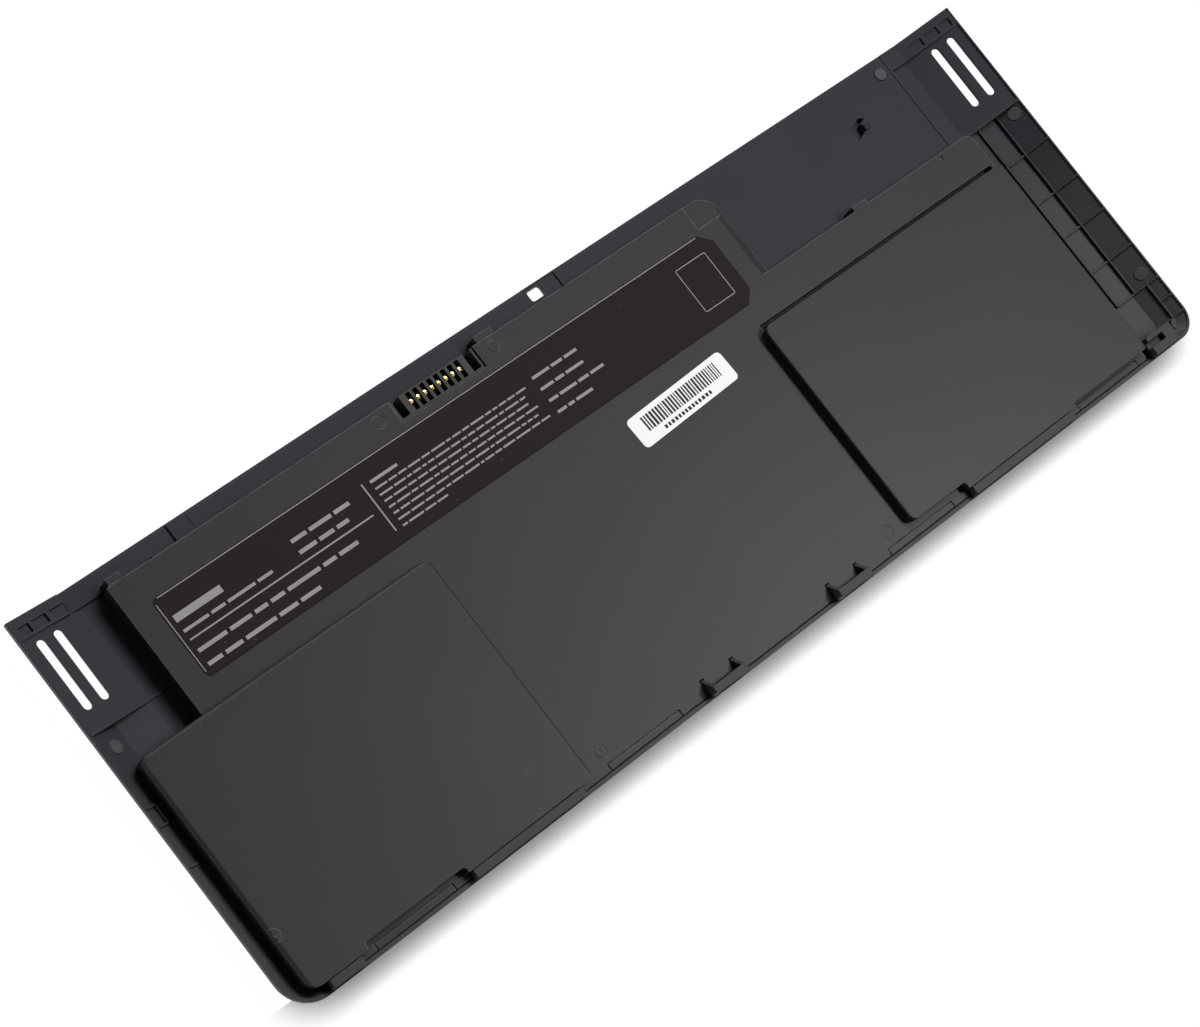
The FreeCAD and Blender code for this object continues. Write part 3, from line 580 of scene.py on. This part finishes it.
def hang(thing: bpy.types.Object) -> bpy.types.Object:
    """Link an object to the scene and hand it back."""
    bpy.context.scene.collection.objects.link(thing)
    return thing


def dress(node: str, material: bpy.types.Material) -> None:
    """Give a node of the frame its material.

    Args:
        node: Node name.
        material: The material.
    """
    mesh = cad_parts[node].data
    mesh.materials.clear()
    mesh.materials.append(material)
    LOG.info("dressed %s", node)


@dataclass(frozen=True)
class PrintRow:
    """One row of plain bars of uneven width, from its lower left corner, in millimetres."""

    x: float
    y: float
    length: float
    height: float
    least: float
    most: float
    gap: float
    seed: int = 1
    turn: float = 0.0

    @classmethod
    def rule(cls, x: float, y: float, length: float, height: float, turn: float = 0.0) -> PrintRow:
        """One bar over the whole length.

        Args:
            x: Place along the label.
            y: Place across the label.
            length: Length of the bar.
            height: Width of the bar.
            turn: Turn about its lower left corner in radians.

        Returns:
            The row.
        """
        return cls(x, y, length, height, length, length, 0.0, turn=turn)

    def count(self) -> int:
        """The number of bars that may fit."""
        return max(1, math.ceil(self.length / (self.least + self.gap)))

    def place(self) -> Matrix:
        """Where the row lies on its sheet."""
        shift = Matrix.Translation((self.x * MM, self.y * MM, 0.0))
        return shift @ Matrix.Rotation(self.turn, 4, "Z")


class BarPrinter:
    """Lays rows of plain bars with one Geometry Nodes tree."""

    SOCKETS = {"Count": WHOLE, "Length": NUMBER, "Height": NUMBER, "Thickness": NUMBER,
               "Least Width": NUMBER, "Most Width": NUMBER, "Gap": NUMBER, "Seed": WHOLE,
               "Ink": "NodeSocketMaterial"}
    # Spare length in millimetres, so that rounding never drops the last bar
    SPARE = 0.001

    def __init__(self) -> None:
        """Build the tree once."""
        self.tree = self._bar_row()

    def _bar_row(self) -> bpy.types.NodeTree:
        """Tree that sets bars of uneven width one after another until the row is full.

        Returns:
            The tree.
        """
        tree = bpy.data.node_groups.new("bar_row", "GeometryNodeTree")
        for label, kind in self.SOCKETS.items():
            tree.interface.new_socket(label, in_out="INPUT", socket_type=kind)
        tree.interface.new_socket("Geometry", in_out="OUTPUT", socket_type="NodeSocketGeometry")
        w = NodeWriter(tree)
        entry, leave = w.add("NodeGroupInput"), w.add("NodeGroupOutput")
        line = w.add("GeometryNodeMeshLine", mode="OFFSET")
        w.link(entry.outputs["Count"], line.inputs["Count"])
        chance = w.add("FunctionNodeRandomValue", data_type="FLOAT")
        w.link(entry.outputs["Least Width"], chance.inputs[2])
        w.link(entry.outputs["Most Width"], chance.inputs[3])
        w.link(entry.outputs["Seed"], chance.inputs["Seed"])
        width = chance.outputs[1]
        running = w.add("GeometryNodeAccumulateField", data_type="FLOAT")
        stride = w.calc("ADD", width, entry.outputs["Gap"])
        w.link(stride, next(socket for socket in running.inputs if socket.enabled))
        before = next(socket for socket in running.outputs
                      if socket.enabled and socket.name == "Trailing")
        start = w.add("ShaderNodeCombineXYZ")
        w.link(before, start.inputs[0])
        spread = w.add("GeometryNodeSetPosition")
        w.link(line.outputs["Mesh"], spread.inputs["Geometry"])
        w.link(start.outputs[0], spread.inputs["Position"])
        fits = w.add("FunctionNodeCompare", data_type="FLOAT", operation="LESS_EQUAL")
        w.link(w.calc("ADD", before, width), fits.inputs[0])
        w.link(entry.outputs["Length"], fits.inputs[1])
        size = w.add("ShaderNodeCombineXYZ")
        for index, value in enumerate((width, entry.outputs["Height"], entry.outputs["Thickness"])):
            w.link(value, size.inputs[index])
        placed = w.add("GeometryNodeInstanceOnPoints")
        w.link(spread.outputs["Geometry"], placed.inputs["Points"])
        w.link(fits.outputs[0], placed.inputs["Selection"])
        w.link(self._unit_bar(w), placed.inputs["Instance"])
        w.link(size.outputs[0], placed.inputs["Scale"])
        solid = w.add("GeometryNodeRealizeInstances")
        w.link(placed.outputs["Instances"], solid.inputs["Geometry"])
        inked = w.add("GeometryNodeSetMaterial")
        w.link(solid.outputs["Geometry"], inked.inputs["Geometry"])
        w.link(entry.outputs["Ink"], inked.inputs["Material"])
        w.link(inked.outputs["Geometry"], leave.inputs["Geometry"])
        return tree

    @staticmethod
    def _unit_bar(w: NodeWriter) -> bpy.types.NodeSocket:
        """A bar of unit size with one corner at the origin.

        Args:
            w: Writer of the tree.

        Returns:
            The geometry socket.
        """
        bar = w.add("GeometryNodeMeshCube")
        bar.inputs["Size"].default_value = (1.0, 1.0, 1.0)
        shifted = w.add("GeometryNodeTransform")
        shifted.inputs["Translation"].default_value = (0.5, 0.5, 0.5)
        w.link(bar.outputs["Mesh"], shifted.inputs["Geometry"])
        return shifted.outputs["Geometry"]

    def _lay(self, row: PrintRow, thickness: float, ink: bpy.types.Material) -> bpy.types.Mesh:
        """Make one row as a plain mesh.

        Args:
            row: Sizes of the row.
            thickness: Height of the ink in millimetres.
            ink: Ink material.

        Returns:
            The mesh, in metres, with its corner at the origin.
        """
        holder = hang(bpy.data.objects.new("row", bpy.data.meshes.new("row")))
        modifier = holder.modifiers.new("bars", "NODES")
        modifier.node_group = self.tree
        values = {"Count": row.count(), "Length": (row.length + self.SPARE) * MM,
                  "Height": row.height * MM, "Thickness": thickness * MM,
                  "Least Width": row.least * MM, "Most Width": row.most * MM,
                  "Gap": row.gap * MM, "Seed": row.seed, "Ink": ink}
        for item in self.tree.interface.items_tree:
            if item.in_out == "INPUT":
                modifier[item.identifier] = values[item.name]
        bpy.context.view_layer.update()
        evaluated = holder.evaluated_get(bpy.context.evaluated_depsgraph_get())
        mesh = bpy.data.meshes.new_from_object(evaluated)
        bpy.data.objects.remove(holder)
        return mesh

    def piece(self, name: str, rows: Sequence[PrintRow], sheet: Matrix, thickness: float,
              ink: bpy.types.Material) -> bpy.types.Object:
        """Print rows on a sheet and join them into one piece.

        Args:
            name: Name of the piece.
            rows: The rows, in their order.
            sheet: Place and turn of the sheet that carries them.
            thickness: Height of the ink in millimetres.
            ink: Ink material.

        Returns:
            The piece, at the origin.
        """
        bm = bmesh.new()
        for row in rows:
            bars = self._lay(row, thickness, ink)
            bars.transform(sheet @ row.place())
            bm.from_mesh(bars)
        mesh = bpy.data.meshes.new(name)
        bm.to_mesh(mesh)
        bm.free()
        mesh.materials.append(ink)
        for polygon in mesh.polygons:
            polygon.material_index = 0
        LOG.info("made %s with %d faces", name, len(mesh.polygons))
        return hang(bpy.data.objects.new(name, mesh))


@dataclass
class CaseShells:
    """The bottom tray, the rear panel and the cell cover."""

    blue_grey: Colour = shade(48, 48, 53)
    blue_drift: Colour = shade(50, 50, 55)
    # Pale edge colour of the tray and panel: partly rubbed, partly a painted highlight
    blue_worn_and_lit: Colour = shade(88, 88, 91)
    blue_specular: float = 0.22
    # Painted light: the tray grows lighter towards the front
    front_painted_light: Colour = shade(61, 61, 60)
    # Painted shade in the tray's corners and grooves, and its reach in metres
    tray_crevice_shade: float = 0.3
    tray_reach: float = 0.008
    mark_radius: float = 1.6
    mark_tone: Colour = grey(72)
    marks: tuple[Pair, ...] = ((137.7, 18.6), (137.7, -30.6), (-136.5, 16.3))
    dot_tone: Colour = shade(78, 78, 82)
    dots: tuple[Pair, ...] = ((115.95, 45.0),)
    # The cover's pale edge colour is partly a painted highlight, and it has painted shade in
    # corners and grooves
    cover: MouldedPlastic = MouldedPlastic("cover_grain", grey(44), grey(46), grey(128), wear_and_highlight=0.85,
                                           crevice_shade=0.45, edge_radius=0.00035)

    def dress(self, effects: SharedEffects) -> None:
        """Give the three mouldings their grained plastic.

        Args:
            effects: Shared shader groups.
        """
        tones = (self.blue_grey, self.blue_drift, self.blue_worn_and_lit)
        tray = MouldedPlastic("tray_grain", *tones, specular=self.blue_specular,
                              crevice_shade=self.tray_crevice_shade, reach=self.tray_reach,
                              front=self.front_painted_light, spots=self._spots(self.marks, self.mark_tone))
        panel = MouldedPlastic("panel_grain", *tones, specular=self.blue_specular,
                               spots=self._spots(self.dots, self.dot_tone))
        dress("bottom_tray", tray.build(effects))
        dress("rear_panel", panel.build(effects))
        dress("cell_cover", self.cover.build(effects))

    def _spots(self, places: tuple[Pair, ...], tone: Colour) -> tuple[Spot, ...]:
        """Round marks of one tone at the given places."""
        return tuple(Spot(x, y, self.mark_radius, tone) for x, y in places)


@dataclass
class InfoLabel:
    """The dark label with its plain rules and bars, in millimetres."""

    ink_thickness: float = 0.015
    margin: float = 1.7
    rule: float = 0.35
    border: float = 0.2
    # Lines: place along and across the label, and length
    divider: Triple = (1.7, 8.4, 49.3)
    post: Triple = (53.2, 3.1, 12.3)
    top_line: Triple = (1.4, 19.4, 155.0)
    side_line: Triple = (0.45, 1.4, 17.0)
    # Painted shadow: a line along the lower edge of the label
    shadow_line: Triple = (1.7, 0.1, 153.0)
    # Empty box at the right end
    box_x: float = 146.6
    box_y: float = 4.0
    box_width: float = 9.4
    box_height: float = 11.8
    # Block of fine bars: its last line is a place across and a length
    block_x: float = 55.0
    block_top: float = 12.7
    block_pitch: float = 1.62
    block_lines: int = 6
    block_length: float = 44.0
    block_last: Pair = (2.98, 14.0)
    # Bars: height, least and most width, and gap
    block_bars: tuple[float, ...] = (0.45, 0.9, 4.2, 0.45)
    column_bars: tuple[float, ...] = (0.7, 1.6, 5.5, 0.6)
    # Column of short rows beside the block
    column_x: float = 101.0
    column_top: float = 13.4
    column_pitch: float = 3.1
    column_lengths: tuple[float, ...] = (18.5, 13.5, 18.5, 13.5)
    film: SmoothSheet = SmoothSheet("label_film", shade(39, 33, 33), shade(40, 34, 34),
                                    (0.55, 0.58), specular=0.1, ripple_scale=300.0)
    pale: SmoothSheet = SmoothSheet(Ink.PALE.value, shade(148, 146, 144), shade(154, 152, 150),
                                    (0.5, 0.6), specular=0.2)
    # Ink of the painted shadow along the lower edge
    dark: SmoothSheet = SmoothSheet(Ink.EDGE.value, shade(10, 9, 9), shade(12, 11, 11),
                                    (0.5, 0.6), specular=0.2)

    def dress(self, effects: SharedEffects, printer: BarPrinter) -> None:
        """Give the film its finish, lay its print and lay the painted shadow along its lower edge.

        Args:
            effects: Shared shader groups.
            printer: Printer of the bars.
        """
        dress("label_film", self.film.build(effects))
        low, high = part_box("label_film")
        corner = Matrix.Translation((low.x, low.y, high.z))
        piece = printer.piece("label_print", self._rows() + self._rules(), corner,
                              self.ink_thickness, self.pale.build(effects))
        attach(piece, "root")
        # Painted shadow along the lower edge of the label, laid as a line of near-black ink
        edge = PrintRow.rule(*self.shadow_line, self.border)
        line = printer.piece("label_edge_print", [edge], corner,
                             self.ink_thickness, self.dark.build(effects))
        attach(line, "root")

    def _rows(self) -> list[PrintRow]:
        """The rows of bars: place, length, height, least and most width, gap and seed of each.

        Returns:
            The rows.
        """
        head = [PrintRow(self.margin, 13.0, 24.0, 1.7, 10.0, 12.5, 1.4, 3),
                PrintRow(self.margin, 10.4, 25.5, 0.7, 3.0, 8.0, 0.7, 4),
                PrintRow(32.4, 13.2, 17.0, 0.9, 2.0, 6.0, 0.8, 5),
                PrintRow(32.4, 10.3, 18.0, 0.9, 2.0, 6.0, 0.8, 6),
                PrintRow(self.margin, 5.3, 49.0, 0.9, 3.0, 9.0, 0.9, 7),
                PrintRow(self.margin, 1.9, 38.0, 0.9, 2.4, 8.0, 0.9, 8),
                PrintRow(self.block_x, 14.4, 10.0, 0.7, 6.0, 9.0, 0.6, 9)]
        block = [PrintRow(self.block_x, self.block_top - self.block_pitch * k, self.block_length,
                          *self.block_bars, 20 + k) for k in range(self.block_lines)]
        last = PrintRow(self.block_x, *self.block_last, *self.block_bars, 30)
        column = [PrintRow(self.column_x, self.column_top - self.column_pitch * k, length,
                           *self.column_bars, 40 + k)
                  for k, length in enumerate(self.column_lengths)]
        return head + block + [last] + column

    def _rules(self) -> list[PrintRow]:
        """The thin rules, the two border lines and the empty box of the label.

        Returns:
            Each rule as a row of one bar.
        """
        thin = self.border
        left, right = self.box_x, self.box_x + self.box_width
        top = self.box_y + self.box_height - thin
        return [PrintRow.rule(*self.divider, self.rule),
                PrintRow.rule(*self.post, self.rule, QUARTER_TURN),
                PrintRow.rule(*self.top_line, thin),
                PrintRow.rule(*self.side_line, thin, QUARTER_TURN),
                PrintRow.rule(left, self.box_y, self.box_width, thin),
                PrintRow.rule(left, top, self.box_width, thin),
                PrintRow.rule(left + thin, self.box_y, self.box_height, thin, QUARTER_TURN),
                PrintRow.rule(right, self.box_y, self.box_height, thin, QUARTER_TURN)]


@dataclass
class CodeSticker:
    """The small white sticker with generic bars; its turn is in degrees."""

    turn: float = 2.5
    ink_thickness: float = 0.012
    bars: PrintRow = PrintRow(-11.6, -1.1, 23.5, 3.7, 0.2, 0.7, 0.35, 11)
    foot: PrintRow = PrintRow(-8.0, -2.9, 16.0, 0.9, 0.6, 0.8, 0.4, 12)
    paper: SmoothSheet = SmoothSheet("sticker_paper", shade(252, 252, 250), shade(254, 254, 253),
                                     (0.5, 0.6))
    ink: SmoothSheet = SmoothSheet(Ink.DARK.value, shade(24, 24, 25), shade(30, 30, 31), (0.5, 0.6))

    def dress(self, effects: SharedEffects, printer: BarPrinter) -> None:
        """Give the paper its finish and lay the bars.

        Args:
            effects: Shared shader groups.
            printer: Printer of the bars.
        """
        dress("code_sticker", self.paper.build(effects))
        low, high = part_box("code_sticker")
        middle = (low + high) / 2
        turn = Matrix.Rotation(math.radians(self.turn), 4, "Z")
        sheet = Matrix.Translation((middle.x, middle.y, high.z)) @ turn
        piece = printer.piece("sticker_print", [self.bars, self.foot], sheet,
                              self.ink_thickness, self.ink.build(effects))
        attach(piece, "root")


@dataclass
class Socket:
    """The connector housing and its contacts."""

    contacts: int = 8
    housing: MouldedPlastic = MouldedPlastic("socket_plastic", shade(58, 58, 56), shade(61, 61, 59),
                                             shade(96, 96, 94), (0.40, 0.50), edge_radius=0.0001)
    gold: SmoothSheet = SmoothSheet("contact_gold", shade(232, 200, 116), shade(242, 214, 138),
                                    (0.26, 0.38), metallic=1.0, ripple_scale=1500.0,
                                    ripple_depth=0.00001)

    def dress(self, effects: SharedEffects) -> None:
        """Give the socket its plastic and the contacts their plating.

        Args:
            effects: Shared shader groups.
        """
        dress("connector_housing", self.housing.build(effects))
        plating = self.gold.build(effects)
        for number in range(1, self.contacts + 1):
            dress(f"contact_{number}", plating)


@dataclass
class SealedInside:
    """The board, its packages, the cells, tabs and tapes."""

    packages: tuple[str, ...] = ("gauge_chip", "charge_switch", "discharge_switch",
                                 "sense_resistor")
    mask: SmoothSheet = SmoothSheet("solder_mask", shade(22, 70, 44), shade(26, 80, 50),
                                    (0.3, 0.42), ripple_scale=900.0)
    foil: SmoothSheet = SmoothSheet("pouch_foil", shade(196, 198, 202), shade(206, 208, 211),
                                    (0.3, 0.42), metallic=0.85, ripple_scale=90.0)
    strip: SmoothSheet = SmoothSheet("nickel_strip", shade(186, 184, 178), shade(200, 198, 192),
                                     (0.25, 0.4), metallic=1.0, stretch=(1.0, 12.0, 1.0))
    liner: SmoothSheet = SmoothSheet("tape_liner", shade(226, 222, 204), shade(234, 231, 216),
                                     (0.6, 0.75), ripple_scale=500.0)
    epoxy: MouldedPlastic = MouldedPlastic("package_epoxy", shade(26, 26, 27), shade(31, 31, 32),
                                           grey(60), edge_radius=0.0001)

    def dress(self, effects: SharedEffects) -> None:
        """Give every hidden piece its finish.

        Args:
            effects: Shared shader groups.
        """
        dress("circuit_board", self.mask.build(effects))
        moulded, pouch = self.epoxy.build(effects), self.foil.build(effects)
        for node in self.packages:
            dress(node, moulded)
        dress("thermal_fuse", pouch)
        finishes = {"tab": self.strip.build(effects), "tape": self.liner.build(effects),
                    "cell": pouch}
        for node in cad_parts:
            kind = node.split("_")[0]
            if kind in finishes and node != "cell_cover":
                dress(node, finishes[kind])


def stand(place: Vector, across: Vector, above: Vector, back: Vector) -> Matrix:
    """Set up the place and turn of a lamp or a camera.

    Args:
        place: Where it stands, in metres.
        across: Its own X axis.
        above: Its own Y axis.
        back: Its own Z axis, away from what it faces.

    Returns:
        The matrix.
    """
    return Matrix.Translation(place) @ Matrix((across, above, back)).transposed().to_4x4()


def toward(direction: Triple, distance: float) -> Triple:
    """The place at a distance from the pack in a given direction, in metres."""
    return tuple(Vector(direction).normalized() * distance)


@dataclass(frozen=True)
class Lamp:
    """A square flat light that faces the pack, in metres and watts."""

    name: str
    place: Triple
    size: float
    power: float
    hidden_from: Ray

    def build(self) -> None:
        """Hang the light and hide it from one kind of ray."""
        data = bpy.data.lights.new(self.name, "AREA")
        data.size = self.size
        data.energy = self.power
        lamp = hang(bpy.data.objects.new(self.name, data))
        back = Vector(self.place).normalized()
        across = (Vector((1.0, 0.0, 0.0)) - back * back.x).normalized()
        lamp.matrix_world = stand(Vector(self.place), across, back.cross(across), back)
        setattr(lamp, self.hidden_from.value, False)


@dataclass
class Studio:
    """Pale floor, soft light and the camera, in millimetres apart from the lamps."""

    eye: Triple = (-324.7, -48.8, 590.7)
    look: Triple = (0.4626, 0.0706, -0.8838)
    up: Triple = (0.5148, 0.7902, 0.3326)
    focal_px: float = 3047.4
    frame_px: float = 1200.0
    sensor: float = 36.0
    nearest: float = 10.0
    lamps: tuple[Lamp, ...] = (Lamp("key", toward((0.55, 0.30, 1.0), 2.2), 0.85, 50.0, Ray.GLOSSY),
                               Lamp("softbox", (0.40, -0.14, 0.70), 0.15, 2.2, Ray.DIFFUSE),
                               Lamp("rim", (0.40, 0.80, 0.66), 0.30, 3.4, Ray.DIFFUSE))
    world_strength: float = 0.10
    floor_size: float = 3000.0
    floor_drop: float = 0.2
    floor_base: Colour = (0.03, 0.03, 0.03, 1.0)
    floor_roughness: float = 0.9
    floor_glow: float = 0.99
    shadow_tone: Colour = grey(120)
    shadow_span: Pair = (0.25, 0.98)
    shadow_samples: int = 8
    shadow_lean: Triple = (-0.15, 0.60, 0.75)
    shadow_reach: float = 8.0
    # Where the shadow starts on the floor: at the right end, at the foot and in front
    right_span: Pair = (138.0, 141.0)
    foot_span: Pair = (-45.5, -45.0)
    soft_span: Pair = (-58.0, -38.0)

    def build(self) -> None:
        """Set up the floor, the lights, the world and the camera."""
        self._floor()
        for lamp in self.lamps:
            lamp.build()
        self._world()
        self._camera()
        bpy.context.scene.view_settings.view_transform = "Standard"

    def _floor(self) -> None:
        """A wide pale floor under the pack that glows white, with a painted shadow in front of the
        pack.
        """
        bm = bmesh.new()
        bmesh.ops.create_grid(bm, x_segments=1, y_segments=1, size=self.floor_size * MM)
        mesh = bpy.data.meshes.new("floor")
        bm.to_mesh(mesh)
        bm.free()
        floor = hang(bpy.data.objects.new("floor", mesh))
        floor.location = (0.0, 0.0, -self.floor_drop * MM)
        material, w, surface = blank_material("floor_white")
        lean = w.add("ShaderNodeCombineXYZ")
        for index, value in enumerate(self.shadow_lean):
            lean.inputs[index].default_value = value
        near = w.add("ShaderNodeAmbientOcclusion", samples=self.shadow_samples)
        near.inputs["Distance"].default_value = self.shadow_reach * MM
        w.link(lean.outputs[0], near.inputs["Normal"])
        openness = w.calc("MAXIMUM", w.ramp(near.outputs["AO"], self.shadow_span),
                          self._pale_share(w))
        w.link(w.mix(openness, self.shadow_tone, WHITE), surface.inputs["Emission Color"])
        surface.inputs["Base Color"].default_value = self.floor_base
        surface.inputs["Roughness"].default_value = self.floor_roughness
        surface.inputs["Emission Strength"].default_value = self.floor_glow
        mesh.materials.append(material)

    def _pale_share(self, w: NodeWriter) -> bpy.types.NodeSocket:
        """Share of the floor that stays pale: under the pack, on its left and behind it.

        Args:
            w: Writer of the floor's material.

        Returns:
            The share socket.
        """
        x, y, _ = w.axes(w.place())
        beyond, sharp, soft = (
            w.ramp(value, (start * MM, end * MM))
            for value, (start, end) in ((x, self.right_span), (y, self.foot_span),
                                        (y, self.soft_span)))
        within = w.calc("SUBTRACT", 1.0, beyond)
        return w.calc("ADD", w.product(within, sharp), w.product(beyond, soft))

    def _world(self) -> None:
        """A dim white world."""
        world = bpy.data.worlds.new("studio")
        world.use_nodes = True
        background = world.node_tree.nodes["Background"]
        background.inputs["Color"].default_value = WHITE
        background.inputs["Strength"].default_value = self.world_strength
        bpy.context.scene.world = world

    def _camera(self) -> None:
        """A camera at the photograph's angle."""
        data = bpy.data.cameras.new("camera")
        data.sensor_fit = "HORIZONTAL"
        data.sensor_width = self.sensor
        data.lens = self.focal_px * self.sensor / self.frame_px
        data.clip_start = self.nearest * MM
        camera = hang(bpy.data.objects.new("camera", data))
        forward = Vector(self.look).normalized()
        side = forward.cross(Vector(self.up)).normalized()
        above = side.cross(forward)
        camera.matrix_world = stand(Vector(self.eye) * MM, side, above, -forward)
        bpy.context.scene.camera = camera


def main() -> None:
    """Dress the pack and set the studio."""
    logging.basicConfig(level=logging.INFO, format="%(name)s: %(message)s")
    effects = SharedEffects()
    printer = BarPrinter()
    CaseShells().dress(effects)
    InfoLabel().dress(effects, printer)
    CodeSticker().dress(effects, printer)
    Socket().dress(effects)
    SealedInside().dress(effects)
    Studio().build()


if __name__ == "__main__":
    main()
